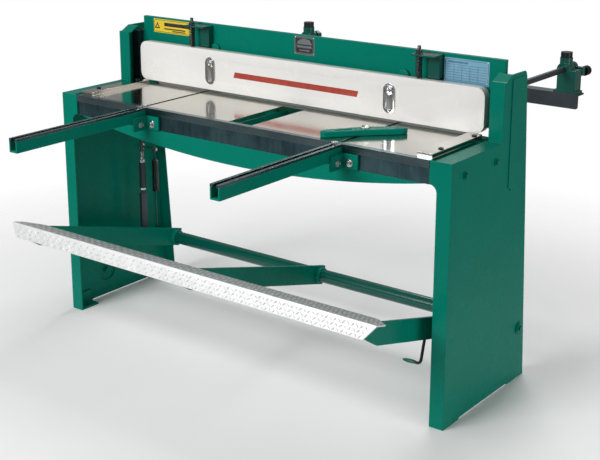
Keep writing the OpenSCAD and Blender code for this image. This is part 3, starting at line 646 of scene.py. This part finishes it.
# %% Hold-down studs
STUD_R, STUD_DEEP, STUD_LONG = 5.3, 30, 134
THREAD_FROM, THREAD_LONG, THREAD_PITCH, BRACKET_T = 34, 97, 1.75, 6.4
bm = bmesh.new()
for side in (-1, 1):
    foot = spot(side * STUD_X, STUD_Y, BAR_TOP - STUD_DEEP)
    drum(bm, foot, UP, STUD_R * MM, STUD_LONG * MM, 0.8 * MM, 24)
    thread(bm, foot + UP * THREAD_FROM * MM, UP, (STUD_R - 0.1) * MM, THREAD_LONG * MM,
           THREAD_PITCH * MM)
    screw(bm, spot(side * STUD_X, STUD_Y, BRACKET + BRACKET_T), UP, *STUD_NUT)
close_ends(bm)
add_piece("threaded_studs", bm, "holddown", spring_steel, ["holddown_studs"])

# %% [markdown]
# The white hold-down bar is a flame-cut slab with big round corners and two upright
# slots for the guide screws. A flat face gives the outline: its corners are
# bevelled round, the slots are drawn the same way, and triangle_fill closes the
# space between the loops. Extruding makes the slab, and a bevel softens its rims.

# %% Plates cut from an outline
def box_corners(x, y, z, w, h):
    return [spot(x + i * w / 2, y, z + j * h / 2)
            for i, j in ((-1, -1), (1, -1), (1, 1), (-1, 1))]


def cut_plate(loops, push, rim):
    """Loops of (corners, radius, segments): the first is the outline, the rest are
    holes. push is the thickness as a vector, and rim the bevel of the edges."""
    bm = bmesh.new()
    for corners, radius, segments in loops:
        face = bm.faces.new([bm.verts.new(c) for c in corners])
        if radius:
            bmesh.ops.bevel(bm, geom=face.verts[:], offset=radius, segments=segments,
                            offset_type="OFFSET", profile=0.5, affect="VERTICES",
                            material=-1)
        bmesh.ops.delete(bm, geom=bm.faces[:], context="FACES_ONLY")
    bmesh.ops.remove_doubles(bm, verts=bm.verts, dist=1e-6)
    bmesh.ops.triangle_fill(bm, use_beauty=True, use_dissolve=True, edges=bm.edges[:])
    flat = bm.faces[:]
    pushed = bmesh.ops.extrude_face_region(bm, geom=flat)
    bmesh.ops.translate(bm, vec=push, verts=verts_of(pushed["geom"]))
    bmesh.ops.recalc_face_normals(bm, faces=bm.faces)
    if rim:
        sharp = [e for e in bm.edges if len(e.link_faces) == 2
                 and e.calc_face_angle(0) > 1.2]
        bmesh.ops.bevel(bm, geom=sharp, offset=rim, offset_type="OFFSET", segments=3,
                        profile=0.5, affect="EDGES", material=-1, clamp_overlap=True)
    return bm


BAR_Y, BAR_LONG, BAR_TALL, BAR_THICK, BAR_CORNER = 319, 1436, 142, 30, 30
SLOT_DOWN, SLOT_WIDE, SLOT_TALL, SLOT_CORNER = 72, 15, 80, 7.4
bar_middle = (bar_low + bar_high).z / 2 / MM
loops = [(box_corners(0, BAR_Y, bar_middle, BAR_LONG, BAR_TALL), BAR_CORNER * MM, 12)]


def slot_loop_at(x):
    return (box_corners(x, BAR_Y, BAR_TOP - SLOT_DOWN, SLOT_WIDE, SLOT_TALL),
            SLOT_CORNER * MM, 8)


for side in (-1, 1):
    loops.append(slot_loop_at(side * GUIDE_X))
bar = cut_plate(loops, BACK * BAR_THICK * MM, 2.0 * MM)
add_piece("white_holddown_bar", bar, "holddown", white_enamel,
          ["holddown_bar"])

# %% [markdown]
# The red stripe on the bar is a plain band with slanted ends, a thin film of paint.
# Each guide slot is framed by a chromed oval plate. Both come from the same
# outline helper as the bar.

# %% Red stripe and chromed slot plates
stripe = [spot(-270, BAR_Y, 886), spot(252, BAR_Y, 886),
          spot(258, BAR_Y, 906), spot(-264, BAR_Y, 906)]
add_piece("red_stripe", cut_plate([(stripe, 0, 1)], FRONT * 0.2 * MM, 0),
          "holddown", red_ink)
for side, name in ((-1, "left_slot_plate"), (1, "right_slot_plate")):
    x = side * GUIDE_X
    oval = (box_corners(x, BAR_Y, BAR_TOP - SLOT_DOWN - 1.5, 45, 97), 22.4 * MM, 14)
    plate = cut_plate([oval, slot_loop_at(x)], FRONT * 3 * MM, 0.9 * MM)
    add_piece(name, plate, "holddown", chrome,
              ["slot_plates"] if side < 0 else [])

# %% [markdown]
# The bevel gauge is a bent green casting, clamped over the right-hand T-slot by
# one bolt, with a slot along its left leg. Its outline is drawn once and cut like
# the other plates, with a soft rim as a casting has.

# %% Bevel gauge
GAUGE_Y, GAUGE_Z = 145, BED_Z + 0.5


def gauge_point(x, y):
    return spot(SLOT_X + x, GAUGE_Y + y, GAUGE_Z)


outline = [gauge_point(*p) for p in
           ((-92, -94), (-86, -118), (-66, -118), (10, -26), (98, 60),
            (104, 84), (84, 88), (60, 78), (-18, 14))]
slot_loop = [gauge_point(*p) for p in
             ((-60.7, -74.3), (-51.3, -81.7), (-17.3, -37.7), (-26.7, -30.3))]
hole = [gauge_point(6 * math.cos(a), 6 * math.sin(a))
        for a in [math.tau * i / 16 for i in range(16)]]
gauge = cut_plate([(outline, 6 * MM, 5), (slot_loop, 5.5 * MM, 5), (hole, 0, 1)],
                  UP * 18 * MM, 2.2 * MM)
add_piece("cast_bevel_gauge", gauge, "bevel_gauge", green_enamel,
          ["bevel_gauge"])

# %% [markdown]
# Beads of weld join the arms to the tread and the torque tube. A bead is a row of
# overlapping flattened drops. The drops are coarse, because a hundred of them make
# a bead and enamel covers them anyway.

# %% Weld beads
def drop(bm, where, along, size):
    place = (Matrix.Translation(where) @ along.to_track_quat("Z", "Y").to_matrix().to_4x4()
             @ Matrix.Diagonal((1.0, 1.0, 0.62, 1.0)))
    bmesh.ops.create_icosphere(bm, subdivisions=1, radius=size, matrix=place)


def bead(bm, start, end, size=2.6):
    way = end - start
    count = max(2, round(way.length / (size * 0.8 * MM)))
    for i in range(count + 1):
        drop(bm, start + way * (i / count), way.normalized(),
             size * MM * (1.0 + 0.10 * math.sin(i * 2.4)))


def round_bead(bm, centre, axis, radius, size=2.8):
    side = axis.orthogonal().normalized() * radius * MM
    count = round(math.tau * radius / (size * 0.8))
    for i in range(count):
        arm = side.copy()
        arm.rotate(Matrix.Rotation(math.tau * i / count, 3, axis))
        drop(bm, centre + arm, axis.cross(arm).normalized(), size * MM)


ARM_X, ARM_T, TREAD_WELD = 698, 10, (702, 782)
TUBE_BEAD_R, COLLAR_BEAD_R, COLLAR_REACH = 25.5, 30, 14
bm = bmesh.new()
for x in (-ARM_X - ARM_T, -ARM_T / 2, ARM_X):
    for face in (x, x + ARM_T):
        bead(bm, *[treadle_line @ (Vector((face, -u, ARM_TOP - 0.5)) * MM)
                   for u in TREAD_WELD])
    for end in (x - COLLAR_REACH, x + ARM_T + COLLAR_REACH):
        round_bead(bm, spot(end, PIVOT_Y, PIVOT_Z), RIGHT, TUBE_BEAD_R)
    for face in (x - 0.3, x + ARM_T + 0.3):
        round_bead(bm, spot(face, PIVOT_Y, PIVOT_Z), RIGHT, COLLAR_BEAD_R)
add_piece("treadle_welds", bm, "treadle", green_enamel, crease=60)

bm = bmesh.new()
for side in (-1, 1):
    bead(bm, spot(side * 752, 292, BED_Z + 0.5), spot(side * 796, 292, BED_Z + 0.5), 3.2)
    bead(bm, spot(side * SLOT_X + 25, -1.5, BED_Z - 70),
         spot(side * SLOT_X + 25, -1.5, BED_Z - 28), 2.2)
add_piece("frame_welds", bm, "frame", green_enamel, crease=60)

# %% [markdown]
# The hook under the right-hand treadle arm is a bent round rod that ends in a
# small pressed toe. The rod is a ring pushed down, spun round a corner, and pushed
# out again. The toe is a ball squeezed to a flat oval and turned a little.

# %% Treadle hook
HOOK_X, HOOK_U, HOOK_V, REACH, ROD = 691, 405, -10, 104, 4.6
CORNER_R, ROD_START, ROD_END, BOSS_HALF = 12, 8, 18, 6
TOE_OUT, TOE_HALVES, TOE_TURN = 36, Vector((27, 13, 3.2)), math.radians(14)
bm = bmesh.new()
pivot = Vector((HOOK_X, -HOOK_U, HOOK_V)) * MM
ring = ring_at(bm, ROD * MM, 12, Matrix.Translation(pivot + DOWN * ROD_START * MM))


def push(bm, edges, vec):
    """Pushes an open ring along and gives back the ring at the far end."""
    made = bmesh.ops.extrude_edge_only(bm, edges=edges)["geom"]
    bmesh.ops.translate(bm, vec=vec, verts=verts_of(made))
    return [e for e in edges_of(made) if len(e.link_faces) == 1]


ring_edges = push(bm, edges_of(ring), DOWN * (REACH - ROD_START - CORNER_R) * MM)
corner = pivot + DOWN * (REACH - CORNER_R) * MM + LEFT * CORNER_R * MM
ring_verts = list({v for e in ring_edges for v in e.verts})
turned = bmesh.ops.spin(bm, geom=ring_edges + ring_verts, cent=corner, axis=(0, 1, 0),
                        angle=math.pi / 2, steps=8, use_duplicate=False)["geom_last"]
push(bm, edges_of(turned), LEFT * ROD_END * MM)
close_ends(bm)
drum(bm, pivot + LEFT * BOSS_HALF * MM, RIGHT, 11 * MM, 2 * BOSS_HALF * MM, 1.0 * MM, 28)
bmesh.ops.transform(bm, matrix=treadle_line, verts=bm.verts)
add_piece("bent_hook_rod", bm, "treadle_hook", black_oxide,
          ["treadle_hook"])

bm = bmesh.new()
toe = pivot + DOWN * REACH * MM + LEFT * TOE_OUT * MM
bmesh.ops.create_uvsphere(bm, u_segments=24, v_segments=12, radius=1.0)
bmesh.ops.scale(bm, vec=TOE_HALVES * MM, verts=bm.verts)
bmesh.ops.rotate(bm, matrix=Matrix.Rotation(TOE_TURN, 3, "X"), verts=bm.verts)
bmesh.ops.translate(bm, vec=toe, verts=bm.verts)
bmesh.ops.transform(bm, matrix=treadle_line, verts=bm.verts)
add_piece("hook_toe", bm, "treadle_hook", green_enamel)

# %% [markdown]
# Each drive link is a rod with a turnbuckle. The CAD node has the eyes, the rods
# and the hexagon; what is missing is the thread next to the hexagon and the nuts
# that lock it. They ride with the link, one piece for each side.

# %% Locknuts and threads of the links
LINK_X, LINK_Y, LINK_LOW, LINK_TOP = 720, 308.67, 198.47, 640
HEXAGON_HALF, LINK_THREAD_R, LINK_THREAD_LONG = 50, 5.8, 34
middle = (LINK_LOW + LINK_TOP) / 2 + 40
for side, name in ((-1, "left_link"), (1, "right_link")):
    bm = bmesh.new()
    for way in (UP, DOWN):
        at = spot(side * LINK_X, LINK_Y, middle) + way * HEXAGON_HALF * MM
        screw(bm, at, way, *LOCKNUT)
        if way is UP:
            thread(bm, at + way * LOCKNUT[1] * MM, way, LINK_THREAD_R * MM,
                   LINK_THREAD_LONG * MM, THREAD_PITCH * MM)
    close_ends(bm)
    add_piece(name + "_locknuts", bm, name, zinc)

# %% [markdown]
# The labels stay generic: a warning triangle with plain bars, a ruled chart and a
# name plate with an engraved border and an arch. Every mark is a thin raised film,
# cut by the same helper as the plates, so it is real geometry and holds no words.

# %% Marks on the labels
FILM = 0.25


def film(name, marks, material):
    """Joins flat marks into one thin piece; each mark is a list of loops."""
    joined = bmesh.new()
    for mark in marks:
        bm = cut_plate(mark, FRONT * FILM * MM, 0)
        mesh = bpy.data.meshes.new("mark")
        bm.to_mesh(mesh)
        bm.free()
        joined.from_mesh(mesh)
        bpy.data.meshes.remove(mesh)
    return add_piece(name, joined, "crosshead", material)


def patch(x, z, w, h, radius=0.0, y=HEAD_Y):
    return (box_corners(x, y, z, w, h), radius * MM, 3)


def rim_mark(x, z, w, h, line, radius, y=HEAD_Y):
    return [patch(x, z, w, h, radius, y),
            patch(x, z, w - 2 * line, h - 2 * line, radius * 0.6, y)]


def triangle(x, z, radius):
    return ([spot(x + radius * math.cos(math.radians(a)), HEAD_Y,
                  z + radius * math.sin(math.radians(a))) for a in (90, 210, 330)], 0, 1)


YX, YZ = -606, 1024
film("warning_marks",
     [rim_mark(YX, YZ, 182, 44, 1.4, 3),
      [triangle(YX - 76, YZ - 2, 15), triangle(YX - 76, YZ - 2, 7)],
      [patch(YX + 22, YZ + 7, 128, 13, 2)], [patch(YX + 10, YZ - 9, 104, 4.5, 1)],
      [patch(YX + 30, YZ - 16, 64, 3.5, 1)]], black_ink)

CX, CZ = 620, 1004
chart = [rim_mark(CX, CZ, 152, 70, 1.6, 3), [patch(CX - 30, CZ + 26, 70, 6, 1)]]
chart += [[patch(CX, CZ + z, 140, 1.4)] for z in (18, 10, 2, -6, -14, -22, -30)]
chart += [[patch(CX + x, CZ - 6, 1.2, 46)] for x in (-44, -16, 12, 40)]
film("chart_rules", chart, blue_ink)

NX, NZ = -3, 1019
film("name_field", [[patch(NX, NZ, 78, 56, 3)]], black_ink)
FIELD_Y = HEAD_Y - FILM
arch = [spot(NX + 31 * math.cos(a), FIELD_Y, NZ + 4 + 19 * math.sin(a))
        for a in [math.pi * i / 14 for i in range(15)]]
film("name_border", [rim_mark(NX, NZ, 74, 52, 1.6, 3, FIELD_Y), [(arch, 0, 1)],
                     [patch(NX, NZ - 4, 60, 7, 1.5, FIELD_Y)],
                     [patch(NX, NZ - 16, 44, 3.5, 1, FIELD_Y)]],
     bare_label)

# %% [markdown]
# Small dome-headed drive screws hold the labels at their corners. A dome shows only
# the front half of a flattened ball, so a small sphere, squeezed and half sunk in
# the plate, does it.

# %% Drive screws of the labels
DOME_R, FROM_EDGE = 2.4, 5
bm = bmesh.new()
for x, z, w, h in ((YX, YZ, 188, 50), (CX, CZ, 158, 76), (NX, NZ, 84, 62)):
    for at in box_corners(x, HEAD_Y, z, w - 2 * FROM_EDGE, h - 2 * FROM_EDGE):
        dome = bmesh.ops.create_uvsphere(bm, u_segments=12, v_segments=8,
                                         radius=DOME_R * MM,
                                         matrix=Matrix.Translation(at))
        bmesh.ops.scale(bm, vec=(1, 0.55, 1), verts=dome["verts"],
                        space=Matrix.Translation(-at))
add_piece("label_drive_screws", bm, "crosshead", zinc)

# %% [markdown]
# The studio is plain: a pale floor that fades out round the machine, a white sky
# that lights it only faintly, one large soft lamp from the front left, a weaker one
# from the right and one from above and behind that draws a glint along the table.

# %% Floor and lamps
FLOOR_HALF, FADE_FROM, FADE_TO = 6, 1.0, 2.3
bm = bmesh.new()
bmesh.ops.create_grid(bm, x_segments=1, y_segments=1, size=FLOOR_HALF)
floor_mesh = bpy.data.meshes.new("studio_floor")
bm.to_mesh(floor_mesh)
bm.free()
floor = bpy.data.objects.new("studio_floor", floor_mesh)
bpy.context.scene.collection.objects.link(floor)
floor_finish, tree, shader = blank_finish("pale_floor")
tree.links.new(blend_colour(tree, grain(tree, 1.2), (0.86, 0.86, 0.86),
                            (0.90, 0.90, 0.90)), shader.inputs["Base Color"])
tree.links.new(span(tree, grain(tree, 14.0), 0.3, 0.7, 0.6, 0.75),
               shader.inputs["Roughness"])
place = tree.nodes.new("ShaderNodeTexCoord")
away = tree.nodes.new("ShaderNodeVectorMath")
away.operation = "LENGTH"
tree.links.new(place.outputs["Object"], away.inputs[0])
tree.links.new(span(tree, away.outputs["Value"], FADE_FROM, FADE_TO, 1.0, 0.0),
               shader.inputs["Alpha"])
floor_mesh.materials.append(floor_finish)

sky = bpy.data.worlds.new("studio_sky")
bpy.context.scene.world = sky
sky.use_nodes = True
tree = sky.node_tree
seen = tree.nodes["Background"]
path = tree.nodes.new("ShaderNodeLightPath")
seen.inputs["Color"].default_value = (1.0, 1.0, 1.0, 1)
tree.links.new(span(tree, path.outputs["Is Camera Ray"], 0.0, 1.0, 0.25, 1.0),
               seen.inputs["Strength"])


def softbox(name, where, aim, size, power):
    lamp = bpy.data.lights.new(name, "AREA")
    lamp.shape, lamp.size, lamp.energy = "SQUARE", size, power
    holder = bpy.data.objects.new(name, lamp)
    holder.location = where
    holder.rotation_euler = (Vector(aim) - Vector(where)).to_track_quat("-Z", "Y").to_euler()
    bpy.context.scene.collection.objects.link(holder)


softbox("front_softbox", (-0.9, -3.9, 3.0), (0, 0, 0.6), 2.2, 160)
softbox("right_softbox", (4.4, 0.2, 1.1), (0.5, 0, 0.5), 1.6, 42)
softbox("back_softbox", (-0.6, 2.8, 3.6), (0, 0.1, 0.8), 2.4, 90)

# %% [markdown]
# The camera stands to the front right, a little above the top of the machine, and
# looks down by about sixteen degrees through a longish lens. A small downward
# shift keeps the uprights nearly upright, as a catalogue picture has them.

# %% Camera
LOOK_DOWN, FROM_RIGHT = 15.569, 37.600
lens = bpy.data.cameras.new("catalogue_camera")
lens.lens, lens.sensor_width = 73.03, 36.0
lens.shift_x, lens.shift_y = 0.0126, -0.1
lens.clip_end = 100.0
camera = bpy.data.objects.new("catalogue_camera", lens)
camera.location = (2.4405, -3.1136, 1.7155)
camera.rotation_euler = (math.radians(90 - LOOK_DOWN), 0, math.radians(FROM_RIGHT))
bpy.context.scene.collection.objects.link(camera)
bpy.context.scene.camera = camera
bpy.context.scene.view_settings.view_transform = "Standard"
bpy.context.scene.view_settings.look = "None"
print("lens", lens.lens, "mm")

# %% [markdown]
# Last, the view layer is brought up to date.

# %% The end
bpy.context.view_layer.update()
